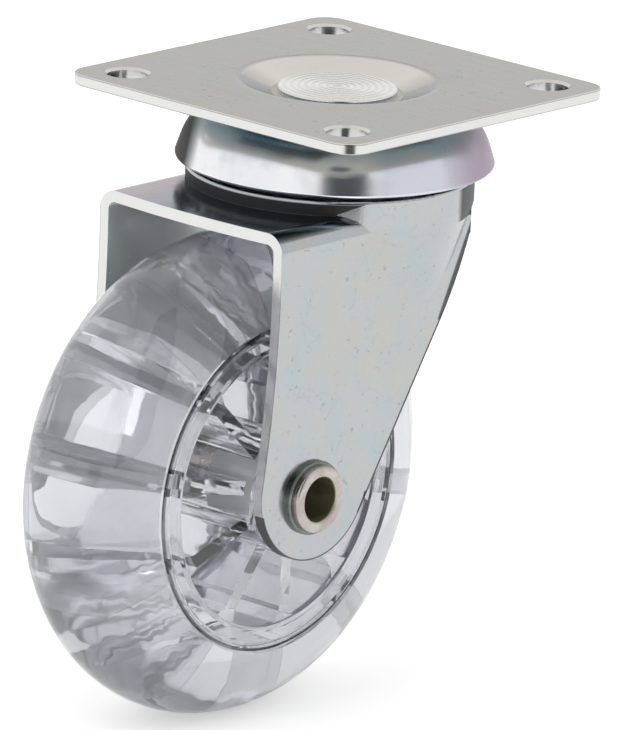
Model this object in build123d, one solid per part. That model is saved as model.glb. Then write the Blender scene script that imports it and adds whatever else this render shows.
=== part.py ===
from build123d import *
import math
import os

# Swivel furniture caster with a clear wheel, in millimetres.
# The origin is the centre of the mounting plate's top face, and +Z is up.
# The fork trails towards +X, and the wheel's axle lies along Y.

# Mounting plate
plate_side = 60.0
plate_thickness = 1.8
plate_corner_radius = 4.0
plate_edge_fillet = 0.3
bolt_spacing = 46.0
bolt_hole_radius = 3.25
bolt_hole_chamfer = 0.4
dish_radius = 15.6
dish_floor_radius = 10.3
dish_depth = 2.1
dish_fillet = 3.0

# Kingpin, a rivet that holds the swivel together
kingpin_radius = 5.0
kingpin_head_radius = 9.35
kingpin_head_thickness = 0.95
kingpin_head_fillet = 0.35
kingpin_foot_radius = 6.2
kingpin_foot_height = 1.7
kingpin_fit = 0.05

# Upper race cup, the drawn bowl under the plate
cup_thickness = 1.5
cup_radius = 25.0
cup_shoulder_radius = 8.4
cup_flare = 18.0
cup_rim_height = 0.4
cup_rim_fillet = 0.45

# Balls and their tracks
upper_ball_radius = 3.0
upper_ball_angle = 50.0
upper_ball_spacing = 0.35
lower_ball_radius = 2.0
lower_ball_spacing = 0.25
lower_track_radius = 8.2
ball_seat_gap = 0.02
ball_running_gap = 0.15
race_thickness = 1.0
race_lip = 1.3
race_channel_width = 1.7
lower_washer_radius = 10.4
lower_washer_wall = 1.3
lower_washer_shoulder = 1.1

# Fork, one sheet drawn into a round pan and folded down into two legs
fork_thickness = 1.8
fork_width = 38.4
fork_bend_radius = 3.2
fork_front = 32.2
fork_front_bulge = 0.8
pan_radius = 22.5
pan_forward = 0.9
pan_step = 2.5
pan_edge_radius = 0.6
pan_wall = 4.5
pan_blend = 14.0
pan_rear_wall = 4.4
crown_hole_radius = 6.4

# The legs' side outline: each point is X and the drop below the crown
leg_front_point = (32.8, 26.0)
leg_rear_point = (-4.8, 19.2)
leg_waist_point = (-8.25, 12.6)
leg_neck_point = (-10.6, 6.6)
leg_flare_point = (-14.7, 3.3)
nose_radius = 12.0
nose_setback = 0.75
nose_rise = 1.85

# Hollow axle and the rings on it
trail = 23.35
axle_radius = 4.5
axle_bore_radius = 3.5
axle_flange_radius = 5.3
axle_flange_thickness = 1.2
axle_flange_fillet = 0.5
axle_fit = 0.05
collar_radius = 5.85
collar_thickness = 0.9
collar_fillet = 0.3
spacer_radius = 7.2
spacer_thickness = 1.0

# Wheel
wheel_radius = 38.4
wheel_crown_clearance = 2.5
tyre_height = 12.8
tyre_half_width = 12.5
rim_thickness = 3.6
rim_half_width = 12.7
rim_edge_fillet = 0.6
rim_seam_chamfer = 0.5
tyre_seam_chamfer = 0.4
hub_radius = 9.2
hub_edge_fillet = 0.6
spoke_count = 10
spoke_phase = 25.0
spoke_thickness = 2.2
spoke_rim_half_width = 11.9
spoke_hub_half_width = 13.6
spoke_root_length = 2.0
spoke_root_spread = 1.3
fin_reach = 0.66
fin_root_half_width = 9.5
fin_tip_half_width = 5.5
fin_root_thickness = 2.0
fin_tip_thickness = 3.4
bush_outer_radius = 6.2
bush_flange_radius = 8.0
bush_flange_thickness = 1.0
bush_length = 12.0
bush_running_fit = 0.08
wheel_side_gap = 0.3

# Levels down the swivel axis that follow from the sizes above
dish_underside = -dish_depth - plate_thickness
shoulder_level = dish_underside - cup_shoulder_radius
flare = math.radians(cup_flare)
flare_drop = cup_shoulder_radius * math.sin(flare) + cup_rim_height
shoulder_circle = cup_radius - cup_shoulder_radius * math.cos(flare) - flare_drop * math.tan(flare)
cup_inner_shoulder = cup_shoulder_radius - cup_thickness
ball_reach = cup_inner_shoulder - upper_ball_radius - ball_running_gap
ball_slope = math.radians(upper_ball_angle)
upper_track_radius = shoulder_circle + ball_reach * math.cos(ball_slope)
upper_ball_level = shoulder_level + ball_reach * math.sin(ball_slope)
race_groove = upper_ball_radius + ball_seat_gap
pan_top = upper_ball_level - race_groove - race_thickness
pan_underside = pan_top - fork_thickness
crown_top = pan_top - pan_step
crown_underside = crown_top - fork_thickness
lower_ball_level = pan_underside - lower_ball_radius - ball_seat_gap
lower_washer_groove = lower_ball_radius + ball_running_gap
lower_washer_bottom = lower_ball_level - lower_washer_groove - lower_washer_wall

# The wheel turns just under the crown, and its fins end inside the tyre
axle_height = wheel_radius + wheel_crown_clearance - crown_underside
rim_radius = wheel_radius - tyre_height
rim_inner_radius = rim_radius - rim_thickness
fin_tip_radius = rim_radius + fin_reach * tyre_height

# Stations along the axle, out from the wheel's middle plane
fork_half_width = fork_width / 2
fork_inner_half_width = fork_half_width - fork_thickness
spacer_face = fork_inner_half_width - spacer_thickness
hub_half_width = spacer_face - wheel_side_gap
core_half_width = hub_half_width - bush_flange_thickness
collar_face = fork_half_width + collar_thickness
axle_half_length = collar_face + axle_flange_thickness

# Longer than the whole caster, for cuts that go right through
through = 200.0


def turned(*profile):
    """Turn a closed outline of (radius, height) points about the Z axis."""
    return revolve(make_face(Plane.XZ * Polyline(*profile, close=True)), Axis.Z)


def on_axle(shape):
    """Lay a shape that was turned about Z on the wheel's axle."""
    return Pos(trail, 0, -axle_height) * Rot(-90, 0, 0) * shape


def on_far_side(shape):
    """The same piece at the other end of the axle."""
    return mirror(shape, Plane.XZ)


def ball_ring(ball_radius, track_radius, level, spacing):
    """As many loose balls as the track has room for, evenly spread."""
    pitch = 2 * ball_radius + spacing
    count = int(2 * math.pi * track_radius / pitch)
    places = PolarLocations(track_radius, count)
    return Compound([Pos(0, 0, level) * place * Sphere(ball_radius) for place in places])


def make_mounting_plate():
    plate = extrude(RectangleRounded(plate_side, plate_side, plate_corner_radius), -plate_thickness)
    sheared_edges = plate.edges().group_by(Axis.Z)
    plate = fillet(sheared_edges[0] + sheared_edges[-1], plate_edge_fillet)
    plate += turned(
        (0, -plate_thickness), (dish_radius, -plate_thickness),
        (dish_floor_radius, dish_underside), (0, dish_underside))
    plate -= turned(
        (0, 0), (dish_radius, 0),
        (dish_floor_radius, -dish_depth), (0, -dish_depth))
    # The pressing leaves soft edges where the dish leaves the flat sheet.
    dish_edges = plate.edges().filter_by(GeomType.CIRCLE).filter_by(
        lambda edge: abs(edge.radius - dish_radius) < 0.01)
    plate = fillet(dish_edges, dish_fillet)
    plate -= Cylinder(kingpin_radius + kingpin_fit, through)
    bolt_holes = GridLocations(bolt_spacing, bolt_spacing, 2, 2)
    mouth_radius = bolt_hole_radius + bolt_hole_chamfer
    plate -= bolt_holes * Cylinder(bolt_hole_radius, through)
    mouth = Pos(0, 0, -bolt_hole_chamfer) * Cone(
        bolt_hole_radius, mouth_radius, bolt_hole_chamfer,
        align=(Align.CENTER, Align.CENTER, Align.MIN))
    return plate - bolt_holes * mouth


def make_kingpin():
    head = Pos(0, 0, -dish_depth) * Cylinder(
        kingpin_head_radius, kingpin_head_thickness,
        align=(Align.CENTER, Align.CENTER, Align.MIN))
    head = fillet(head.edges().group_by(Axis.Z)[-1], kingpin_head_fillet)
    shank = turned(
        (0, -dish_depth), (kingpin_radius, -dish_depth),
        (kingpin_radius, lower_washer_bottom), (0, lower_washer_bottom))
    # The foot is the shank's end, peened out into a low dome.
    dome_radius = (kingpin_foot_radius ** 2 + kingpin_foot_height ** 2) / (2 * kingpin_foot_height)
    dome = Pos(0, 0, lower_washer_bottom - kingpin_foot_height + dome_radius) * Sphere(dome_radius)
    below_washer = Pos(0, 0, lower_washer_bottom) * Cylinder(
        through, through, align=(Align.CENTER, Align.CENTER, Align.MAX))
    return head + shank + (dome & below_washer)


def on_shoulder(radius, angle):
    """A point of the cup's round shoulder, at an angle above the level."""
    return (shoulder_circle + radius * math.cos(angle), shoulder_level + radius * math.sin(angle))


def make_upper_race_cup():
    bore = kingpin_radius + kingpin_fit
    floor = dish_underside - cup_thickness
    inner_wall = cup_radius - cup_thickness / math.cos(flare)
    rim = shoulder_level - cup_rim_height
    # The shoulder is round, and below it the wall flares straight out to the rim.
    halfway = (math.pi / 2 + flare) / 2
    outer_mid = on_shoulder(cup_shoulder_radius, halfway)
    inner_mid = on_shoulder(cup_inner_shoulder, halfway)
    outer_flare = on_shoulder(cup_shoulder_radius, flare)
    inner_flare = on_shoulder(cup_inner_shoulder, flare)
    with BuildSketch(Plane.XZ) as section:
        with BuildLine():
            Polyline((shoulder_circle, dish_underside), (bore, dish_underside), (bore, floor), (shoulder_circle, floor))
            ThreePointArc((shoulder_circle, floor), inner_mid, inner_flare)
            Polyline(inner_flare, (inner_wall, rim), (cup_radius, rim), outer_flare)
            ThreePointArc(outer_flare, outer_mid, (shoulder_circle, dish_underside))
        make_face()
    cup = revolve(section.sketch, Axis.Z)
    return fillet(cup.edges().group_by(Axis.Z)[0], cup_rim_fillet)


def make_upper_balls():
    return ball_ring(upper_ball_radius, upper_track_radius, upper_ball_level, upper_ball_spacing)


def make_lower_race_cup():
    # The channel is a pressed sheet that cradles the balls from inside and below.
    outer = race_groove + race_thickness
    inner_edge = upper_track_radius - outer
    with BuildSketch(Plane.XZ) as section:
        with Locations((upper_track_radius, upper_ball_level)):
            Circle(outer)
            Rectangle(through, through, align=(Align.CENTER, Align.MIN), mode=Mode.SUBTRACT)
        with Locations((upper_track_radius + race_channel_width, upper_ball_level)):
            Rectangle(through, through, align=(Align.MIN, Align.CENTER), mode=Mode.SUBTRACT)
        with Locations((inner_edge - race_lip, pan_top)):
            Rectangle(outer + race_lip, race_thickness, align=(Align.MIN, Align.MIN))
        with Locations((upper_track_radius, upper_ball_level)):
            Circle(race_groove, mode=Mode.SUBTRACT)
    return revolve(section.sketch, Axis.Z)


def make_lower_balls():
    return ball_ring(lower_ball_radius, lower_track_radius, lower_ball_level, lower_ball_spacing)


def make_lower_race_washer():
    bore = kingpin_radius + kingpin_fit
    shoulder = lower_ball_level - lower_washer_shoulder
    washer = turned(
        (bore, lower_washer_bottom), (lower_washer_radius, lower_washer_bottom),
        (lower_washer_radius, shoulder), (bore, shoulder))
    return washer - Pos(0, 0, lower_ball_level) * Torus(lower_track_radius, lower_washer_groove)


def leg_point(point):
    """A point of the legs' side outline, from its drop below the crown."""
    return (point[0], crown_top - point[1])


def side_outline():
    """The outline that the drawn sheet is trimmed to, seen along the axle."""
    nose = (trail - nose_setback, -axle_height + nose_rise)
    rear = leg_point(leg_rear_point)
    bearing = math.atan2(rear[1] - nose[1], rear[0] - nose[0])
    swing = math.acos(nose_radius / math.dist(rear, nose))
    tangent = (
        nose[0] + nose_radius * math.cos(bearing + swing),
        nose[1] + nose_radius * math.sin(bearing + swing))
    front_of_nose = (nose[0] + nose_radius, nose[1])
    front_top = (fork_front, crown_top - fork_bend_radius)
    rear_lip = (-pan_radius - 1, pan_top - pan_rear_wall)
    with BuildSketch(Plane.XZ) as outline:
        with BuildLine():
            ThreePointArc(front_of_nose, (nose[0], nose[1] - nose_radius), tangent)
            Line(tangent, rear)
            ThreePointArc(rear, leg_point(leg_waist_point), leg_point(leg_neck_point))
            ThreePointArc(leg_point(leg_neck_point), leg_point(leg_flare_point), rear_lip)
            Polyline(rear_lip, (rear_lip[0], 0), (fork_front, 0), front_top)
            ThreePointArc(front_top, leg_point(leg_front_point), front_of_nose)
        make_face()
    return outline.sketch


def folded_block(half_width, top, bend):
    """A block with two bent upper edges, as wide as one face of the sheet."""
    reach = math.sqrt(pan_radius ** 2 - fork_half_width ** 2) - pan_forward
    block = Pos(-reach, 0, top) * Box(
        through, 2 * half_width, through, align=(Align.MIN, Align.CENTER, Align.MAX))
    return fillet(block.edges().filter_by(Axis.X).group_by(Axis.Z)[-1], bend)


def drawn_pan(radius, top, foot_radius):
    """A round pan whose wall narrows below into the flat of the legs."""
    wall_bottom = pan_top - pan_wall
    blend_bottom = wall_bottom - pan_blend
    return Pos(pan_forward, 0, 0) * turned(
        (0, top), (radius, top), (radius, wall_bottom),
        (foot_radius, blend_bottom), (0, blend_bottom))


def make_fork():
    outer_pan = drawn_pan(pan_radius, pan_top, fork_half_width)
    outer_pan = fillet(outer_pan.edges().group_by(Axis.Z)[-1], pan_edge_radius)
    outer = outer_pan + folded_block(fork_half_width, crown_top, fork_bend_radius)
    inner = drawn_pan(pan_radius - fork_thickness, pan_underside, fork_inner_half_width)
    inner += folded_block(fork_inner_half_width, crown_underside, fork_bend_radius - fork_thickness)
    fork = (outer - inner) & extrude(side_outline(), through / 2, both=True)
    # The crown's front edge bows out a little between the two folds.
    chord = fork_half_width - fork_bend_radius
    with BuildSketch(Plane.XY.offset(crown_underside)) as bow:
        with BuildLine():
            ThreePointArc((fork_front, -chord), (fork_front + fork_front_bulge, 0), (fork_front, chord))
            Line((fork_front, chord), (fork_front, -chord))
        make_face()
    fork += extrude(bow.sketch, fork_thickness)
    fork -= Cylinder(crown_hole_radius, through)
    return fork - on_axle(Cylinder(axle_radius + axle_fit, through))


def make_axle_tube():
    tube = Cylinder(axle_radius, 2 * axle_half_length)
    for end in (-1, 1):
        middle = end * (collar_face + axle_flange_thickness / 2)
        tube += Pos(0, 0, middle) * Cylinder(axle_flange_radius, axle_flange_thickness)
    tube -= Cylinder(axle_bore_radius, through)
    # Both ends are rolled out over the collars, so their edges are round.
    ends = tube.edges().filter_by(GeomType.CIRCLE)
    tube = fillet(ends.group_by(Axis.Z)[0] + ends.group_by(Axis.Z)[-1], axle_flange_fillet)
    return on_axle(tube)


def axle_ring(inner_radius, outer_radius, inner_face, outer_face, edge=0.0):
    """A flat ring on the axle between two stations on the near side."""
    ring = turned(
        (inner_radius, inner_face), (outer_radius, inner_face),
        (outer_radius, outer_face), (inner_radius, outer_face))
    if edge > 0:
        rims = ring.edges().filter_by(GeomType.CIRCLE).group_by(SortBy.RADIUS)[-1]
        ring = fillet(rims.group_by(Axis.Z)[-1], edge)
    return on_axle(ring)


def make_collar():
    return axle_ring(axle_radius + axle_fit, collar_radius, fork_half_width, collar_face, collar_fillet)


def make_spacer():
    return axle_ring(axle_radius + axle_fit, spacer_radius, spacer_face, fork_inner_half_width)


def make_hub_bush():
    bore = axle_radius + bush_running_fit
    sleeve = axle_ring(bore, bush_outer_radius, hub_half_width - bush_length, hub_half_width)
    return sleeve + axle_ring(bore, bush_flange_radius, core_half_width, hub_half_width)


def make_wheel_core():
    hub = Cylinder(hub_radius, 2 * core_half_width)
    hub = fillet(hub.edges().filter_by(GeomType.CIRCLE), hub_edge_fillet)
    rim = Cylinder(rim_radius, 2 * rim_half_width)
    rim = chamfer(rim.edges().filter_by(GeomType.CIRCLE), rim_seam_chamfer)
    rim -= Cylinder(rim_inner_radius, through)
    rim_mouths = rim.edges().filter_by(GeomType.CIRCLE).filter_by(
        lambda edge: abs(edge.radius - rim_inner_radius) < 0.01)
    rim = fillet(rim_mouths, rim_edge_fillet)
    core = hub + rim + wheel_rays(spoke())
    core += wheel_rays(fin())
    return on_axle(core - Cylinder(bush_outer_radius, through))


def wheel_rays(ray):
    """The same ray repeated round the wheel, which is turned about Z here."""
    step = 360 / spoke_count
    return [Rot(0, 0, spoke_phase + index * step) * ray for index in range(spoke_count)]


def spoke():
    # A rib from the hub to the rim, wider at the hub and spread where it meets the rim.
    inner = hub_radius - hub_edge_fillet
    outer = rim_inner_radius + rim_edge_fillet
    root = rim_inner_radius - spoke_root_length
    half = spoke_thickness / 2
    spread = half + spoke_root_spread
    rib = extrude(make_face(Polyline(
        (inner, -half), (root, -half), (outer, -spread),
        (outer, spread), (root, half), (inner, half), close=True)), spoke_hub_half_width, both=True)
    flank = make_face(Plane.XZ * Polyline(
        (inner, -spoke_hub_half_width), (outer, -spoke_rim_half_width),
        (outer, spoke_rim_half_width), (inner, spoke_hub_half_width), close=True))
    return rib & extrude(flank, spread, both=True)


def fin():
    # A wedge outside the rim that keys the tyre, narrow across at its tip.
    root = rim_radius - rim_seam_chamfer
    wedge = extrude(make_face(Polyline(
        (root, -fin_root_thickness / 2), (fin_tip_radius, -fin_tip_thickness / 2),
        (fin_tip_radius, fin_tip_thickness / 2), (root, fin_root_thickness / 2),
        close=True)), fin_root_half_width, both=True)
    flank = make_face(Plane.XZ * Polyline(
        (root, -fin_root_half_width), (fin_tip_radius, -fin_tip_half_width),
        (fin_tip_radius, fin_tip_half_width), (root, fin_root_half_width), close=True))
    return wedge & extrude(flank, fin_tip_thickness, both=True)


def make_tyre():
    # The section is half an ellipse that stands on the rim.
    with BuildSketch(Plane.XZ) as section:
        with Locations((rim_radius, 0)):
            Ellipse(tyre_height, tyre_half_width)
        with Locations((rim_radius, 0)):
            Rectangle(through, through, align=(Align.MAX, Align.CENTER), mode=Mode.SUBTRACT)
    tyre = revolve(section.sketch, Axis.Z)
    seam_edges = tyre.edges().filter_by(GeomType.CIRCLE).filter_by(
        lambda edge: abs(edge.radius - rim_radius) < 0.01)
    tyre = chamfer(seam_edges, tyre_seam_chamfer)
    for ray in wheel_rays(fin()):
        tyre -= ray
    return on_axle(tyre)


near_collar = make_collar()
near_spacer = make_spacer()
near_bush = make_hub_bush()

parts = {
    "mounting_plate": make_mounting_plate(),
    "kingpin": make_kingpin(),
    "upper_race_cup": make_upper_race_cup(),
    "lower_race_washer": make_lower_race_washer(),
    "lower_race_cup": make_lower_race_cup(),
    "upper_balls": make_upper_balls(),
    "lower_balls": make_lower_balls(),
    "fork": make_fork(),
    "axle_tube": make_axle_tube(),
    "axle_collar_near": near_collar,
    "axle_collar_far": on_far_side(near_collar),
    "axle_spacer_near": near_spacer,
    "axle_spacer_far": on_far_side(near_spacer),
    "hub_bush_near": near_bush,
    "hub_bush_far": on_far_side(near_bush),
    "wheel_core": make_wheel_core(),
    "tyre": make_tyre(),
}

os.makedirs("parts", exist_ok=True)
for name, shape in parts.items():
    export_step(shape, f"parts/{name}.step")
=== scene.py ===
import math

import bmesh
import bpy
from mathutils import Matrix, Vector


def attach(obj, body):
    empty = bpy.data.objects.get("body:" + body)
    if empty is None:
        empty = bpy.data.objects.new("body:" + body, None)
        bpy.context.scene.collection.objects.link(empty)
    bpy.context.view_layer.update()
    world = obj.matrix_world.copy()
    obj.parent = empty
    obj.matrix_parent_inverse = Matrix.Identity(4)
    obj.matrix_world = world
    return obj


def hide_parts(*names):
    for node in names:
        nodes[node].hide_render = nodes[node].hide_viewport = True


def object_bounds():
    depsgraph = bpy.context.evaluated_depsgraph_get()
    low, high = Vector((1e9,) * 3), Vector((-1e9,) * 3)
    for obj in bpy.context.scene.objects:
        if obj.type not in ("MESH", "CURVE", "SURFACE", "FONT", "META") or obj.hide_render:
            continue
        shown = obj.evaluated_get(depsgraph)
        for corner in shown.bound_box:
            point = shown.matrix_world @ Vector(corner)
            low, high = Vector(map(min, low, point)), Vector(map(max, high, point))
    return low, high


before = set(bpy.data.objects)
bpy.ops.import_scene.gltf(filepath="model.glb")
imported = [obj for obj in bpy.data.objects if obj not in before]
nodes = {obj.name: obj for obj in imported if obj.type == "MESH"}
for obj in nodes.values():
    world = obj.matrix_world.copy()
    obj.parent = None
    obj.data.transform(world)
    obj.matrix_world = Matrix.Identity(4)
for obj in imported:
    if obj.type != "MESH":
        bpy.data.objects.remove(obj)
cad_box = [list(corner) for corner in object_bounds()]


# Mounting plate: a square of 1.8 mm steel with four bolt holes, dished in the middle
# for the rivet head. It is sheared and pressed, then zinc plated with a pale
# passivated film, so it is a warm satin grey. Its sheared edges are painted brighter,
# partly paler metal and partly a painted highlight, and its dish is painted pale at the
# back and dark at the front, a painted highlight and painted shade.

class Wire:
    """An output of a shader node. Arithmetic on it adds the Math nodes."""

    def __init__(self, finish, socket):
        self.finish = finish
        self.socket = socket

    def math(self, operation, *others):
        values = {index + 1: other for index, other in enumerate(others)}
        return self.finish.add("ShaderNodeMath", {"operation": operation}, {0: self, **values})

    def __add__(self, other):
        return self.math("ADD", other)

    def __sub__(self, other):
        return self.math("SUBTRACT", other)

    def __rsub__(self, other):
        return self.finish.add("ShaderNodeMath", {"operation": "SUBTRACT"}, {0: other, 1: self})

    def __mul__(self, other):
        return self.math("MULTIPLY", other)

    def limited(self):
        """The value held between 0 and 1."""
        return self.finish.add("ShaderNodeClamp", {}, {"Value": self})

    def within(self, low, high):
        """1 where the value lies between low and high."""
        return self.math("GREATER_THAN", low) * self.math("LESS_THAN", high)


class Finish:
    """A material in the making. add() puts in one node and gives back its output."""

    def __init__(self, name, store=bpy.data.materials, output="ShaderNodeOutputMaterial"):
        self.material = store.new(name)
        self.material.use_nodes = True
        self.tree = self.material.node_tree
        self.tree.nodes.clear()
        self.output = self.tree.nodes.new(output)
        self.place = self.add("ShaderNodeTexCoord", {}, {}, "Object")
        self.facing = Wire(self, self.place.socket.node.outputs["Normal"])

    def add(self, kind, settings, values, output=0):
        node = self.tree.nodes.new(kind)
        for name, value in settings.items():
            setattr(node, name, value)
        for name, value in values.items():
            if isinstance(value, Wire):
                self.tree.links.new(value.socket, node.inputs[name])
            else:
                node.inputs[name].default_value = value
        return Wire(self, node.outputs[output])

    def parts(self, vector):
        """The X, Y and Z of a vector."""
        node = self.add("ShaderNodeSeparateXYZ", {}, {0: vector}).socket.node
        return [Wire(self, socket) for socket in node.outputs]

    def vector(self, operation, first, second, output="Vector"):
        """Vector maths on two vectors."""
        return self.add(
            "ShaderNodeVectorMath", {"operation": operation}, {0: first, 1: second}, output)

    def dot(self, first, second):
        return self.vector("DOT_PRODUCT", first, second, "Value")

    def noise(self, size, detail=3.0, stretch=(1, 1, 1)):
        """Noise from 0 to 1 whose blotches are about size metres across."""
        place = self.add("ShaderNodeMapping", {}, {"Vector": self.place, "Scale": stretch})
        return self.add(
            "ShaderNodeTexNoise", {}, {"Vector": place, "Scale": 1 / size, "Detail": detail})

    def ramp(self, value, low, high):
        """0 where value is under low and 1 over high, with a straight rise between."""
        ramp = self.add("ShaderNodeValToRGB", {}, {"Fac": value})
        black, white = ramp.socket.node.color_ramp.elements
        black.position, white.position = low, high
        return ramp

    def blend(self, factor, first, second):
        """first where factor is 0 and second where it is 1, both colours."""
        settings = {"data_type": "RGBA"}
        return self.add("ShaderNodeMix", settings, {0: factor, 6: first, 7: second}, 2)

    def relief(self, height, depth, under=None):
        """A normal from height times depth, in metres."""
        values = {"Height": height, "Strength": 1.0, "Distance": depth}
        if under is not None:
            values["Normal"] = under
        return self.add("ShaderNodeBump", {}, values)

    def surface(self, **sockets):
        values = {name.replace("_", " "): value for name, value in sockets.items()}
        return self.show(self.add("ShaderNodeBsdfPrincipled", {}, values))

    def show(self, shader, socket="Surface"):
        """Link a shader to the output, and give back the finished material or world."""
        self.tree.links.new(shader.socket, self.output.inputs[socket])
        return self.material


def darker(tone, share):
    """A colour with each part scaled by share."""
    return tuple(share * part for part in tone[:3]) + (1,)


# Painted highlight: the pale tone given to the cut edges.
edge_highlight_tone = (0.64, 0.64, 0.63, 1)
# Painted shade: the near black tone where shade is painted.
painted_shade_tone = (0.012, 0.012, 0.014, 1)


def zinc_plate(name, tones, gloss, rolling, edge_highlight, film, painted_shade=None):
    """Bright zinc over rolled sheet: cloudy colour, specks, traces and faint rolling lines.

    tones are the plain, warm and cool colours, and rolling stretches the lines. The edge
    value is 1 on the cut edges, which are painted paler, partly paler metal and partly a
    painted highlight. film gives the colour with its tarnish, and on the dish and crown
    its painted highlight, shade and reflection, and how metallic it is there. The last
    value is 1 where the sheet is painted dark and dull as shade."""
    zinc = Finish(name)
    tone, warm, cool = tones
    clouds = zinc.ramp(zinc.noise(0.016, 4.0), 0.35, 0.65)
    patches = zinc.ramp(zinc.noise(0.006, 3.0), 0.40, 0.72)
    specks = zinc.ramp(zinc.noise(0.0011, 2.0), 0.66, 0.74)
    off_trace = (zinc.noise(0.0050, 2.0) - 0.5).math("ABSOLUTE")
    traces = (1 - off_trace * 90).limited() * patches
    grain = zinc.noise(0.00035, 2.0)
    lines = zinc.noise(0.0009, 2.0, rolling)

    colour = zinc.blend(clouds * 0.9, tone, warm)
    colour = zinc.blend(grain * 0.30, colour, darker(tone, 0.6))
    colour = zinc.blend(patches * 0.7, colour, cool)
    marks = (specks * 0.45 + traces * 0.35).limited()
    colour = zinc.blend(marks, colour, darker(tone, 0.55))
    # film adds tarnish, and on the dish and crown also painted highlight, shade and reflection.
    colour, metal = film(zinc, colour, patches)
    # Painted highlight: the cut edges are painted paler.
    colour = zinc.blend(edge_highlight(zinc), colour, edge_highlight_tone)
    rough = clouds * 0.05 + specks * 0.10 + lines * 0.08 + (gloss - 0.04)
    # Painted shade: the sheet is painted dark and dull where the value is 1.
    if painted_shade is not None:
        dark = painted_shade(zinc)
        colour = zinc.blend(dark, colour, painted_shade_tone)
        metal = (1 - dark) * metal
        rough = rough + dark * 0.45
    normal = zinc.relief(lines, 0.000012, zinc.relief(grain, 0.000006))
    return zinc.surface(
        Base_Color=colour, Metallic=metal, Roughness=rough.limited(), Normal=normal)


past_bolt_holes = 0.0280
dish_wall_above = -0.0025
front_way = (0.742, 0.670, 0)


def plate_edge_highlight(zinc):
    """1 on the plate's four sheared sides, which are painted paler as a highlight, and less in its
    bolt holes, upright as they are.
    """
    upright = zinc.parts(zinc.facing)[2].math("ABSOLUTE")
    across, along = (part.math("ABSOLUTE") for part in zinc.parts(zinc.place)[:2])
    outside = across.math("MAXIMUM", along).math("GREATER_THAN", past_bolt_holes)
    return (1 - upright * 1.6).limited() * (outside * 0.3 + 0.7)


def dish_painted_light(zinc, colour, patches):
    """The pressed dish is painted pale on its back wall, a painted highlight, and bluish dark on
    its front, a painted shade.
    """
    upright = zinc.parts(zinc.facing)[2]
    height = zinc.parts(zinc.place)[2]
    sloping = ((0.992 - upright) * 25).limited() * upright.math("GREATER_THAN", 0.5)
    wall = sloping * height.math("GREATER_THAN", dish_wall_above)
    forward = zinc.dot(zinc.facing, front_way)
    # Painted highlight: the wall that faces front_way is painted pale.
    colour = zinc.blend(wall * (forward * 5).limited(), colour, (0.66, 0.64, 0.59, 1))
    # Painted shade: the front wall is painted bluish dark and less metallic.
    painted_dark_front = wall * (forward * -6 + 0.35).limited()
    return zinc.blend(painted_dark_front, colour, (0.10, 0.12, 0.15, 1)), 1 - painted_dark_front * 0.75


def dress(name, material):
    """Give a CAD node its material."""
    mesh = nodes[name].data
    mesh.materials.clear()
    mesh.materials.append(material)


plate_tones = (0.335, 0.325, 0.29, 1), (0.385, 0.36, 0.31, 1), (0.30, 0.325, 0.33, 1)
dress("mounting_plate", zinc_plate(
    "plate_zinc", plate_tones, 0.21, (1, 0.06, 1), plate_edge_highlight, dish_painted_light))


# Kingpin: a mild steel rivet that holds plate, cup, fork and washer together. It is
# turned, which leaves fine rings on its head, zinc plated, and peened over below.

def turned_steel(name, tone, gloss, pitch):
    """Turned steel: rings about the kingpin, a light plating, and sides painted paler as a
    highlight.
    """
    steel = Finish(name)
    rings = steel.add(
        "ShaderNodeTexWave",
        {"wave_type": "RINGS", "rings_direction": "Z", "wave_profile": "SIN"},
        {"Vector": steel.place, "Scale": 0.314 / pitch, "Distortion": 0.4, "Detail": 1.0,
         "Detail Scale": 1.0},
        "Fac")
    clouds = steel.noise(0.004, 3.0)
    # Painted highlight: the upright sides of the head are painted pale.
    side = (1 - steel.parts(steel.facing)[2].math("ABSOLUTE") * 1.4).limited()
    shading = (clouds * 0.5 + rings * 0.5).limited()
    colour = steel.blend(shading, tone, darker(tone, 0.75))
    colour = steel.blend(side, colour, (0.95, 0.94, 0.91, 1))
    rough = (clouds * 0.10 + side * 0.05 + (gloss - 0.05)).limited()
    normal = steel.relief(rings, 0.000070, steel.relief(steel.noise(0.0006), 0.000015))
    return steel.surface(Base_Color=colour, Metallic=1.0, Roughness=rough, Normal=normal)


dress("kingpin", turned_steel("kingpin_steel", (0.80, 0.79, 0.74, 1), 0.22, 0.0011))


# Upper race cup: the drawn bowl under the plate that covers the big ball race. Its
# polished zinc is the brightest metal here, under an uneven film. A steel blue painted
# reflection lies along its top, one side is painted greyer and its end there violet, partly
# film and partly painted shade, and the other end is painted dark as shade.

side_way = (-0.670, 0.742, 0)
painted_blue_above = -0.0082
violet_past = 0.0165
painted_grey_side_past = 0.0040
painted_dark_end_past = 0.0192


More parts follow.
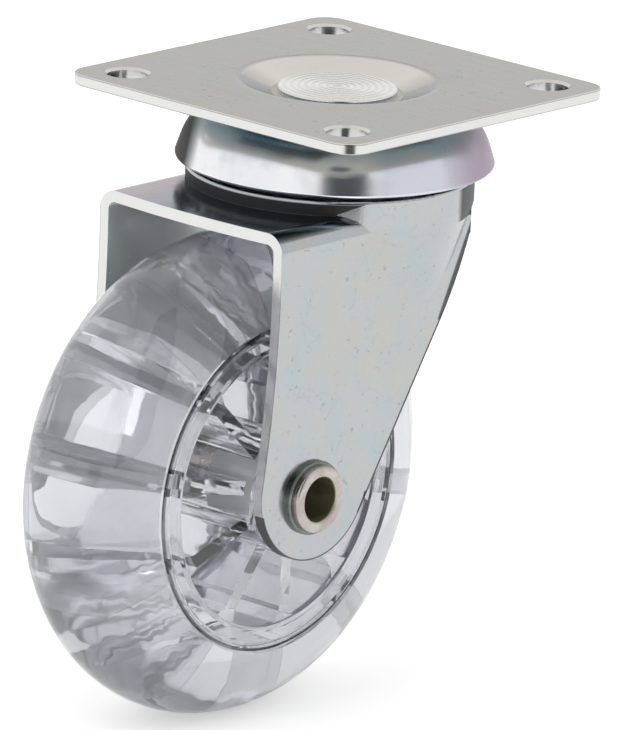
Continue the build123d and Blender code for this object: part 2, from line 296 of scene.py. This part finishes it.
def cup_zinc():
    """Polished zinc, painted steel blue above as a reflection, greyer and violet towards one side
    as painted shade over its film, and painted dark at the other end as shade.
    """
    zinc = Finish("cup_zinc")
    film = zinc.ramp(zinc.noise(0.014, 3.0), 0.40, 0.62)
    stain = zinc.ramp(zinc.noise(0.006, 4.0), 0.50, 0.70)
    draw_lines = zinc.noise(0.0012, 2.0, (0.2, 0.2, 1))
    height = zinc.parts(zinc.place)[2]
    aside = zinc.dot(zinc.place, side_way)
    # Painted reflection: steel blue towards the top, under the plate.
    painted_blue_top = ((height - painted_blue_above) * 380 + film * 0.25 - 0.12).limited()
    # Violet at one end: partly film, partly painted shade.
    violet = ((aside - violet_past) * 160 + film * 0.2).limited()
    # Painted shade: greyer towards one side.
    painted_grey_side = ((aside - painted_grey_side_past) * 250).limited()
    # Painted shade: dark at the other end, where the wall turns away.
    painted_dark_end = ((aside * -1 - painted_dark_end_past + height * 0.2) * 600).limited()

    colour = zinc.blend(film * 0.5, (0.90, 0.90, 0.91, 1), (0.78, 0.79, 0.83, 1))
    colour = zinc.blend(painted_grey_side, colour, (0.61, 0.63, 0.69, 1))
    colour = zinc.blend(painted_blue_top, colour, (0.36, 0.52, 0.64, 1))
    colour = zinc.blend(stain * 0.35, colour, (0.44, 0.50, 0.55, 1))
    colour = zinc.blend(violet * 0.85, colour, (0.34, 0.24, 0.33, 1))
    colour = zinc.blend(painted_dark_end, colour, (0.03, 0.026, 0.026, 1))
    rough = (film * 0.04 + draw_lines * 0.06 + painted_dark_end * 0.45 + violet * 0.15 + 0.19).limited()
    metal = 1 - (painted_dark_end + violet * 0.6).limited()
    normal = zinc.relief(draw_lines, 0.000010)
    return zinc.surface(Base_Color=colour, Metallic=metal, Roughness=rough, Normal=normal)


dress("upper_race_cup", cup_zinc())


# Ball races: a pressed cup and a washer of hardened steel, with two rings of loose
# steel balls in grease. They are dark with grease, and the balls are polished.

def greased_steel():
    """Hardened race steel under a thin uneven film of grease."""
    steel = Finish("race_steel")
    smear = steel.noise(0.003, 4.0)
    colour = steel.blend(smear, (0.20, 0.19, 0.17, 1), (0.34, 0.33, 0.31, 1))
    rough = (smear * 0.25 + 0.20).limited()
    return steel.surface(
        Base_Color=colour, Metallic=1.0, Roughness=rough,
        Normal=steel.relief(smear, 0.00004))


def ball_steel():
    """Polished bearing steel."""
    steel = Finish("ball_steel")
    haze = steel.noise(0.0015, 3.0)
    colour = steel.blend(haze * 0.4, (0.60, 0.60, 0.61, 1), (0.45, 0.44, 0.42, 1))
    rough = (haze * 0.10 + 0.06).limited()
    return steel.surface(
        Base_Color=colour, Metallic=1.0, Roughness=rough,
        Normal=steel.relief(haze, 0.000004))


race_finish = greased_steel()
dress("lower_race_cup", race_finish)
dress("lower_race_washer", race_finish)
ball_finish = ball_steel()
dress("upper_balls", ball_finish)
dress("lower_balls", ball_finish)


# Fork: one 1.8 mm sheet, drawn into a round pan and folded down into two legs. It is
# zinc plated like the plate, a little paler, with painted shade and reflection on the crown,
# painted highlights on its front edges and painted shade along its rear edges.

front_edges_past = 0.0240
leg_outline_past = 0.01902
pan_wall_top, pan_wall_foot = -0.01405, -0.01594
pan_wall_end, foot_rises_past = 0.0190, 0.0155
pan_rear_past, pan_rear_top, pan_rear_bottom = 0.0193, -0.0141, -0.0195
crown_above, crown_violet_past = -0.0172, -0.0060
rear_edge_top, rear_edge_bottom = -0.0352, -0.0631
nose_below = -0.0600
nose_centre, nose_reach = (0.0226, -0.0568), 0.01172
rear_edge = (0.01238, -0.06309), (0.852, 0.524), 0.00042, 8000
waist_edge = (-0.0106, -0.0226), (0.908, 0.418), 0.0009, 3000


def fork_edge_highlight(zinc):
    """1 on the sheared edges that face forwards, which are painted paler as a highlight, with a
    darker line at the legs' outsides.
    """
    forward = zinc.parts(zinc.facing)[0]
    x, y = zinc.parts(zinc.place)[:2]
    outline = y.math("ABSOLUTE").math("GREATER_THAN", leg_outline_past)
    ahead = x.math("GREATER_THAN", front_edges_past)
    return ((forward - 0.6) * 5).limited() * ahead * (1 - outline * 0.8)


def fork_painted_shade(zinc):
    """1 on each leg's rear edge and nose, and on parts of the pan's wall, where shade is painted.

    The sheet is painted dark and dull along the rear edges, the nose and the waist, where it
    turns away, in the corner between the pan's wall and the crown, and at the pan's rear end."""
    x, y, z = zinc.parts(zinc.place)

    def along(edge):
        """1 beside a straight edge of the leg: its point, normal, width and sharpness."""
        point, normal, width, sharpness = edge
        inside = (x - point[0]) * normal[0] + (z - point[1]) * normal[1]
        return ((width - inside) * sharpness).limited()

    rear = along(rear_edge) * z.within(rear_edge_bottom, rear_edge_top)
    waist = along(waist_edge) * z.within(rear_edge_top, pan_rear_bottom)
    across = (x - nose_centre[0]).math("POWER", 2)
    off_nose = (across + (z - nose_centre[1]).math("POWER", 2)).math("SQRT")
    nose = ((off_nose - nose_reach) * 8000).limited() * z.math("LESS_THAN", nose_below)

    beside = y.math("ABSOLUTE")
    level = zinc.parts(zinc.facing)[2].math("ABSOLUTE")
    wall = (1 - level * 2).limited() * ((pan_wall_top - z) * 6000).limited()
    rising_foot = (beside - foot_rises_past).math("MAXIMUM", 0.0) * 0.55
    wall = wall * (z - rising_foot).math("GREATER_THAN", pan_wall_foot)
    wall = wall * ((pan_wall_end - beside) * 2500).limited()
    pan_end = ((zinc.dot(zinc.place, side_way) - pan_rear_past) * 1500).limited()
    pan_end = pan_end * z.within(pan_rear_bottom, pan_rear_top)
    return ((rear + nose + waist + pan_end) * 0.85 + wall).limited()


def fork_film_and_painted_light(zinc, colour, patches):
    """Painted shade and reflection on top of the crown, dark with a violet film towards the far
    side, and inner faces painted paler and less metallic as painted light.
    """
    across, upward = zinc.parts(zinc.facing)[1:]
    y, z = zinc.parts(zinc.place)[1:]
    # Painted light: inner and downward faces are painted paler and less metallic.
    inward = (0 - across * y * 80).limited()
    painted_pale_faces = (((inward - 0.5) * 4).limited() + ((-0.5 - upward) * 4).limited()).limited()
    colour = zinc.blend(painted_pale_faces, colour, (0.66, 0.72, 0.70, 1))
    # Painted shade and reflection: the crown's top is painted dark, violet towards the far side.
    top = ((upward - 0.66) * 12).limited() * z.math("GREATER_THAN", crown_above)
    violet = ((crown_violet_past - y) * 120 + patches * 0.3).limited()
    film = zinc.blend(violet, (0.13, 0.18, 0.21, 1), (0.33, 0.27, 0.30, 1))
    return zinc.blend(top * 0.85, colour, film), 1 - painted_pale_faces * 0.65


fork_tones = (0.46, 0.48, 0.49, 1), (0.48, 0.47, 0.44, 1), (0.38, 0.45, 0.49, 1)
dress("fork", zinc_plate(
    "fork_zinc", fork_tones, 0.15, (1, 1, 0.08), fork_edge_highlight, fork_film_and_painted_light, fork_painted_shade))


# Hollow axle, collars and spacers: a steel tube whose ends are rolled out over a
# collar on each leg. The rolled ends show a pinkish brown film over the steel.

axle_place = Vector((0.02335, 0, -0.0586473))


def off_axle(finish):
    """The vector to each point from the axle's centre line, square to that line."""
    return finish.vector(
        "MULTIPLY", finish.vector("SUBTRACT", finish.place, axle_place), (1, 0, 1))


def axle_steel(name, tone, stain, gloss):
    """Rolled tube end: smooth, with a thin oxide film in patches, and an oiled bore."""
    steel = Finish(name)
    film = steel.ramp(steel.noise(0.0022, 3.0), 0.40, 0.62)
    bore = steel.dot(off_axle(steel), steel.facing).math("LESS_THAN", -0.002)
    colour = steel.blend(film * 0.8, tone, stain)
    colour = steel.blend(bore, colour, (0.50, 0.49, 0.38, 1))
    rough = (film * 0.12 + bore * 0.15 + (gloss - 0.05)).limited()
    return steel.surface(
        Base_Color=colour, Metallic=1.0, Roughness=rough,
        Normal=steel.relief(steel.noise(0.0005), 0.000010))


dress("axle_tube", axle_steel(
    "axle_steel", (0.50, 0.46, 0.44, 1), (0.40, 0.34, 0.32, 1), 0.28))
# Painted shade: the collars take a darker copy of the axle steel.
collar_steel = axle_steel("collar_steel", (0.20, 0.22, 0.20, 1), (0.13, 0.15, 0.13, 1), 0.30)
spacer_steel = axle_steel("spacer_steel", (0.46, 0.46, 0.45, 1), (0.36, 0.35, 0.33, 1), 0.35)
for side in ("near", "far"):
    dress(f"axle_collar_{side}", collar_steel)
    dress(f"axle_spacer_{side}", spacer_steel)


# Hub bushes: flanged sleeves of natural nylon pressed into the clear wheel,
# milky white and slightly see-through, in which the axle tube runs.

def nylon():
    """Milky moulded nylon."""
    plastic = Finish("bush_nylon")
    milk = plastic.noise(0.004, 2.0)
    colour = plastic.blend(milk, (0.80, 0.80, 0.78, 1), (0.88, 0.88, 0.87, 1))
    rough = (milk * 0.10 + 0.35).limited()
    return plastic.surface(
        Base_Color=colour, Roughness=rough, Normal=plastic.relief(milk, 0.00002))


bush_finish = nylon()
for side in ("near", "far"):
    dress(f"hub_bush_{side}", bush_finish)


# Wheel core and tyre: two clear mouldings. The core has a hub, ten ribs, a rim and
# ten fins, and the soft tyre is moulded over it and bonds to it, so light passes
# from one to the other, and the fins show only as faint lines.

wheel_radius = 0.0384
tyre_half_width = 0.0125
rim_radius = 0.0256
rim_inner_radius = 0.0220
rim_half_width = 0.0127
rim_edge = 0.0006
hub_radius = 0.0092
hub_half_width = 0.0151
rim_seam = 0.0005
tyre_seam = 0.0004
seam_slot_width = 0.0003
seam_slot_depth = 0.0014
bead_radius = 0.00035
face_recess = 0.0003
face_slope = 0.0006
lip_width = 0.00015
ring_pitch = 0.0026
bush_bore = 0.0062
ray_count = 10
ray_phase = math.radians(25)
spoke_sections = [
    (0.0086, 0.0136, 0.0011), (0.0200, 0.01222, 0.0011), (0.0226, 0.0119, 0.0024)]
fin_sections = [(0.0246, 0.0095, 0.0010), (0.03405, 0.0055, 0.0017)]
bond_overlap = 0.00005
lathe_steps = 240


def arc(centre, radius, start, end, steps):
    """Points (radius, station) on a circle or an ellipse, angles in degrees."""
    wide, high = radius if isinstance(radius, tuple) else (radius, radius)
    points = []
    for index in range(steps + 1):
        angle = math.radians(start + (end - start) * index / steps)
        points.append((centre[0] + wide * math.cos(angle), centre[1] + high * math.sin(angle)))
    return points


def lathe(name, profile):
    """A ring about the axle from a closed outline of (radius, station) points."""
    shape = bmesh.new()
    rows = []
    for step in range(lathe_steps):
        angle = 2 * math.pi * step / lathe_steps
        rows.append([
            shape.verts.new((
                axle_place.x + radius * math.cos(angle), station,
                axle_place.z + radius * math.sin(angle)))
            for radius, station in profile])
    for step in range(lathe_steps):
        here, after = rows[step], rows[(step + 1) % lathe_steps]
        for index in range(len(profile)):
            other = (index + 1) % len(profile)
            shape.faces.new((here[index], here[other], after[other], after[index]))
    return finished(name, shape)


def finished(name, shape):
    """A new object from a closed bmesh, with merged points and outward faces."""
    bmesh.ops.remove_doubles(shape, verts=shape.verts, dist=1e-7)
    bmesh.ops.recalc_face_normals(shape, faces=shape.faces)
    mesh = bpy.data.meshes.new(name)
    shape.to_mesh(mesh)
    shape.free()
    piece = bpy.data.objects.new(name, mesh)
    bpy.context.scene.collection.objects.link(piece)
    return piece


def ray_pattern():
    """A Geometry Nodes tree that repeats one ray, modelled along +X, round the axle."""
    tree = bpy.data.node_groups.new("ray_pattern", "GeometryNodeTree")
    sockets = {}
    for label, kind in (("Ray", "NodeSocketGeometry"), ("Count", "NodeSocketInt"),
                        ("First Angle", "NodeSocketFloat"), ("Axle", "NodeSocketVector"),
                        ("Material", "NodeSocketMaterial")):
        sockets[label] = tree.interface.new_socket(label, in_out="INPUT", socket_type=kind)
    tree.interface.new_socket("Rays", in_out="OUTPUT", socket_type="NodeSocketGeometry")
    given = tree.nodes.new("NodeGroupInput").outputs

    def step(kind, links, **settings):
        node = tree.nodes.new(kind)
        for setting, value in settings.items():
            setattr(node, setting, value)
        for socket, source in links.items():
            if hasattr(source, "links"):
                tree.links.new(source, node.inputs[socket])
            else:
                node.inputs[socket].default_value = source
        return node.outputs[0]

    number = step("GeometryNodeInputIndex", {})
    pitch = step("ShaderNodeMath", {0: -2 * math.pi, 1: given["Count"]}, operation="DIVIDE")
    turn = step(
        "ShaderNodeMath", {0: number, 1: pitch, 2: given["First Angle"]}, operation="MULTIPLY_ADD")
    rotation = step("ShaderNodeCombineXYZ", {"Y": turn})
    places = step("GeometryNodePoints", {"Count": given["Count"], "Position": given["Axle"]})
    copies = step(
        "GeometryNodeInstanceOnPoints",
        {"Points": places, "Instance": given["Ray"], "Rotation": rotation})
    solid = step("GeometryNodeRealizeInstances", {"Geometry": copies})
    solid = step("GeometryNodeSetMaterial", {"Geometry": solid, "Material": given["Material"]})
    tree.links.new(solid, tree.nodes.new("NodeGroupOutput").inputs[0])
    return tree, {label: socket.identifier for label, socket in sockets.items()}


ray_tree, ray_inputs = ray_pattern()


def rays(name, sections, material):
    """Equal solids round the axle, lofted through (radius, half width, half thickness)."""
    shape = bmesh.new()
    loops = [
        [shape.verts.new((radius, side * wide, edge * thick))
         for side, edge in ((-1, -1), (1, -1), (1, 1), (-1, 1))]
        for radius, wide, thick in sections]
    shape.faces.new(loops[0])
    shape.faces.new(loops[-1])
    for near, far in zip(loops, loops[1:]):
        for index in range(4):
            after = (index + 1) % 4
            shape.faces.new((near[index], near[after], far[after], far[index]))
    piece = finished(name, shape)
    repeat = piece.modifiers.new("repeat", "NODES")
    repeat.node_group = ray_tree
    repeat[ray_inputs["Count"]] = ray_count
    repeat[ray_inputs["First Angle"]] = ray_phase
    repeat[ray_inputs["Axle"]] = axle_place
    repeat[ray_inputs["Material"]] = material
    depsgraph = bpy.context.evaluated_depsgraph_get()
    mesh = bpy.data.meshes.new_from_object(piece.evaluated_get(depsgraph))
    piece.modifiers.remove(repeat)
    piece.data = mesh
    return piece


def combined(base, tool, operation):
    """base joined to or cut by tool, as a plain mesh. tool is used up."""
    cut = base.modifiers.new("cut", "BOOLEAN")
    cut.operation = operation
    cut.solver = "EXACT"
    cut.object = tool
    depsgraph = bpy.context.evaluated_depsgraph_get()
    mesh = bpy.data.meshes.new_from_object(base.evaluated_get(depsgraph))
    base.modifiers.remove(cut)
    base.data = mesh
    bpy.data.objects.remove(tool)


def smoothed(piece, angle):
    """Smooth shading, with edges sharper than angle degrees kept as edges."""
    shape = bmesh.new()
    shape.from_mesh(piece.data)
    for face in shape.faces:
        face.smooth = True
    for edge in shape.edges:
        edge.smooth = edge.calc_face_angle(0) < math.radians(angle)
    shape.to_mesh(piece.data)
    shape.free()


def rim_profile():
    """The rim's section: a bead at each edge of its end faces, and a shallow hollow between."""
    inner, outer = rim_inner_radius + bead_radius, rim_radius - rim_seam
    side = rim_half_width - bead_radius
    hollow = rim_half_width - face_recess
    end = (
        arc((inner, side), bead_radius, 180, 50, 6)
        + [(inner + face_slope, hollow), (outer - face_slope, hollow)]
        + [(outer - lip_width, rim_half_width), (outer, rim_half_width)]
        + [(rim_radius, rim_half_width - rim_seam)])
    return end + [(radius, -station) for radius, station in reversed(end)]


def hub_profile():
    """The hub's section, with rounded ends and the bore for the bushes."""
    corner = hub_radius - rim_edge
    side = hub_half_width - rim_edge
    return (
        [(bush_bore, hub_half_width)] + arc((corner, side), rim_edge, 90, 0, 4)
        + arc((corner, -side), rim_edge, 0, -90, 4) + [(bush_bore, -hub_half_width)])


def seam_shadow(reach, aside):
    """1 in the fine slot where tyre and rim meet on the sides, where a dark line is painted as
    shadow.
    """
    margin = 0.00005
    within = reach.within(rim_radius - 4 * margin, rim_radius + seam_slot_width + margin)
    floor = tyre_half_width - seam_slot_depth - margin
    return within * aside.math("GREATER_THAN", floor)


def clear_plastic(name, ripple, depth_tint, density, clearness, ring_depth):
    """Clear moulded plastic, tinted in the mass, with faint flow waves on its skin.

    ring_depth is the depth of the turned rings that the mould leaves on the sides."""
    plastic = Finish(name)
    flow = plastic.noise(0.008, 2.0)
    fine = plastic.noise(0.0016, 2.0)
    haze = plastic.ramp(plastic.noise(0.010, 3.0), 0.35, 0.75)
    reach = plastic.add(
        "ShaderNodeVectorMath", {"operation": "LENGTH"}, {0: off_axle(plastic)}, "Value")
    aside = plastic.parts(plastic.place)[1].math("ABSOLUTE")
    colour = plastic.blend(haze, (0.97, 0.97, 0.98, 1), (0.93, 0.93, 0.95, 1))
    # Painted shadow: the seam slot is painted dark.
    colour = plastic.blend(seam_shadow(reach, aside), colour, (0.10, 0.10, 0.11, 1))
    on_sides = ((aside - 0.0070) * 300).limited()
    turned = (reach * (2 * math.pi / ring_pitch)).math("SINE") * on_sides
    normal = plastic.relief(flow, ripple, plastic.relief(fine, 0.000004))
    plastic.surface(
        Base_Color=colour, Roughness=(haze * 0.02 + 0.02).limited(), IOR=1.5,
        Normal=plastic.relief(turned, ring_depth, normal), Transmission_Weight=clearness)
    mass = plastic.add(
        "ShaderNodeVolumeAbsorption", {}, {"Color": depth_tint, "Density": density})
    return plastic.show(mass, "Volume")


core_clear = clear_plastic(
    "core_clear", 0.00006, (0.62, 0.63, 0.67, 1), 45.0, 0.96, 0.000004)
core_piece = lathe("wheel_core_clear", rim_profile())
combined(core_piece, lathe("hub", hub_profile()), "UNION")
combined(core_piece, rays("spokes", spoke_sections, core_clear), "UNION")
combined(core_piece, rays("fins", fin_sections, core_clear), "UNION")
smoothed(core_piece, 25)
core_piece.data.materials.clear()
core_piece.data.materials.append(core_clear)
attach(core_piece, "wheel")
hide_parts("wheel_core")


def tyre_profile():
    """Half an ellipse that stands on the rim, with a fine slot at each seam."""
    foot = rim_radius - bond_overlap
    height = wheel_radius - foot
    lip = rim_radius + seam_slot_width
    start = math.degrees(math.asin((lip + tyre_seam - foot) / height))
    crown = arc((foot, 0), (height, tyre_half_width), start - 90, 90 - start, 64)
    shelf = tyre_half_width - seam_slot_depth
    wall = tyre_half_width - tyre_seam
    return [(foot, -shelf), (lip, -shelf), (lip, -wall)] + crown + [
        (lip, wall), (lip, shelf), (foot, shelf)]


tyre_clear = clear_plastic(
    "tyre_clear", 0.00012, (0.62, 0.63, 0.68, 1), 42.0, 0.92, 0.000007)
tyre_piece = lathe("tyre_clear", tyre_profile())
pocket_sections = [
    (radius - bond_overlap, wide - bond_overlap, thick - bond_overlap)
    for radius, wide, thick in fin_sections]
combined(tyre_piece, rays("pockets", pocket_sections, tyre_clear), "DIFFERENCE")
smoothed(tyre_piece, 25)
tyre_piece.data.materials.clear()
tyre_piece.data.materials.append(tyre_clear)
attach(tyre_piece, "wheel")
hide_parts("tyre")


# Studio: a pale floor that the wheel stands on, a white surround, two soft lamps,
# and one dark card by the camera, which the bright cup reflects as a band.

floor_level = cad_box[0][2]
floor_reach = 3.0


def seen_directly(finish):
    """1 for the rays that show the background: camera, mirror and see-through rays."""
    camera_ray = finish.add("ShaderNodeLightPath", {}, {}, "Is Camera Ray")
    kinds = camera_ray.socket.node.outputs
    glossy_ray = Wire(finish, kinds["Is Glossy Ray"])
    return (camera_ray + glossy_ray + Wire(finish, kinds["Is Transmission Ray"])).limited()


def floor_finish():
    """White paper that shows as white, and keeps the shadow under the wheel."""
    paper = Finish("floor_paper")
    diffuse = paper.add("ShaderNodeBsdfDiffuse", {}, {"Color": (0.74, 0.74, 0.74, 1)})
    glow = paper.add("ShaderNodeEmission", {}, {
        "Color": (1, 1, 1, 1), "Strength": seen_directly(paper) * 0.45})
    return paper.show(paper.add("ShaderNodeAddShader", {}, {0: diffuse, 1: glow}))


def flat_sheet(name, centre, right, up, finish):
    """A stage rectangle about centre, with its half sides along right and up."""
    shape = bmesh.new()
    centre, right, up = Vector(centre), Vector(right), Vector(up)
    corners = [centre - right - up, centre + right - up, centre + right + up, centre - right + up]
    shape.faces.new([shape.verts.new(corner) for corner in corners])
    mesh = bpy.data.meshes.new(name)
    shape.to_mesh(mesh)
    shape.free()
    sheet = bpy.data.objects.new(name, mesh)
    bpy.context.scene.collection.objects.link(sheet)
    sheet.data.materials.append(finish)
    return sheet


flat_sheet(
    "floor", (0, 0, floor_level), (floor_reach, 0, 0), (0, floor_reach, 0), floor_finish())


def surround(white_below, grey_above, grey):
    """A white horizon that fades to pale grey overhead, by elevation in degrees."""
    sky = Finish("studio_surround", bpy.data.worlds, "ShaderNodeOutputWorld")
    direction = sky.add("ShaderNodeTexCoord", {}, {}, "Generated")
    height = sky.add("ShaderNodeSeparateXYZ", {}, {0: direction}, 2)
    low, high = math.sin(math.radians(white_below)), math.sin(math.radians(grey_above))
    fade = ((height - low) * (1 / (high - low))).limited()
    level = 1 - fade * (1 - grey)
    strength = level * (seen_directly(sky) * 0.25 + 0.75)
    light = sky.add("ShaderNodeBackground", {}, {"Color": (1, 1, 1, 1), "Strength": strength})
    bpy.context.scene.world = sky.show(light)


surround(white_below=22, grey_above=60, grey=0.95)


# Camera: the photograph's viewing angle and framing.

view_azimuth = math.radians(132.091)
view_elevation = math.radians(15.604)
view_roll = math.radians(2.409)
view_distance = 1.518184
focal_pixels = 9736.754
frame_pixels = 623
sensor_width = 36
caster_middle = Vector((0, 0, -0.045))
target_shift = (-0.002234, -0.001041)

right = Vector((math.cos(view_azimuth), math.sin(view_azimuth), 0))
back = Vector((
    math.sin(view_azimuth) * math.cos(view_elevation),
    -math.cos(view_azimuth) * math.cos(view_elevation),
    math.sin(view_elevation)))
up = back.cross(right)
target = caster_middle + right * target_shift[0] + up * target_shift[1]
camera_right = right * math.cos(view_roll) + up * math.sin(view_roll)
camera_up = up * math.cos(view_roll) - right * math.sin(view_roll)

camera_data = bpy.data.cameras.new("photo_camera")
camera_data.sensor_fit = "HORIZONTAL"
camera_data.sensor_width = sensor_width
camera_data.lens = focal_pixels * sensor_width / frame_pixels
camera_data.clip_start = 0.05
camera = bpy.data.objects.new("photo_camera", camera_data)
bpy.context.scene.collection.objects.link(camera)
camera.matrix_world = Matrix.Translation(target + back * view_distance) @ Matrix((
    camera_right, camera_up, back)).transposed().to_4x4()
bpy.context.scene.camera = camera


lamp_distance = 1.4
lamp_size = 1.2


def soft_lamp(name, azimuth, elevation, power):
    """A square soft lamp aimed at the caster, from a bearing round the camera.

    Mirrored rays don't see it, so it leaves no square patch on metal or plastic."""
    bearing = view_azimuth + math.radians(azimuth)
    height = math.radians(elevation)
    away = Vector((
        math.sin(bearing) * math.cos(height), -math.cos(bearing) * math.cos(height),
        math.sin(height)))
    data = bpy.data.lights.new(name, "AREA")
    data.shape = "SQUARE"
    data.size = lamp_size
    data.energy = power
    lamp = bpy.data.objects.new(name, data)
    bpy.context.scene.collection.objects.link(lamp)
    lamp.matrix_world = Matrix.Translation(target + away * lamp_distance) @ (
        away.to_track_quat("Z", "Y").to_matrix().to_4x4())
    lamp.visible_glossy = False


soft_lamp("key_lamp", azimuth=-55, elevation=45, power=8.0)
soft_lamp("fill_lamp", azimuth=60, elevation=35, power=6.0)


def dark_card(name, bearing, distance, half_width, bottom, top, shade):
    """A dark card that hangs upright, facing the caster, and that only mirrored rays see.

    bearing is in degrees round from the camera, bottom and top are heights in the frame."""
    heading = math.radians(bearing)
    level_back = Vector((back.x, back.y, 0)).normalized()
    ahead = level_back * math.cos(heading) + right * math.sin(heading)
    along = Vector((-ahead.y, ahead.x, 0))
    middle = ahead * distance
    middle.z = (top + bottom) / 2
    black = Finish(name)
    finish = black.show(black.add("ShaderNodeBsdfDiffuse", {}, {"Color": shade}))
    card = flat_sheet(name, middle, along * half_width, (0, 0, (top - bottom) / 2), finish)
    card.visible_camera = False
    card.visible_diffuse = False
    card.visible_transmission = False
    card.visible_shadow = False


dark_card(
    "camera_card", bearing=8, distance=0.125, half_width=0.036, bottom=-0.044, top=0.30,
    shade=(0.045, 0.065, 0.075, 1))

# Light crosses or mirrors off many faces of the clear mouldings before it comes out.
cycles = bpy.context.scene.cycles
cycles.max_bounces = 40
cycles.transmission_bounces = 40
cycles.glossy_bounces = 30

bpy.context.scene.view_settings.view_transform = "Standard"
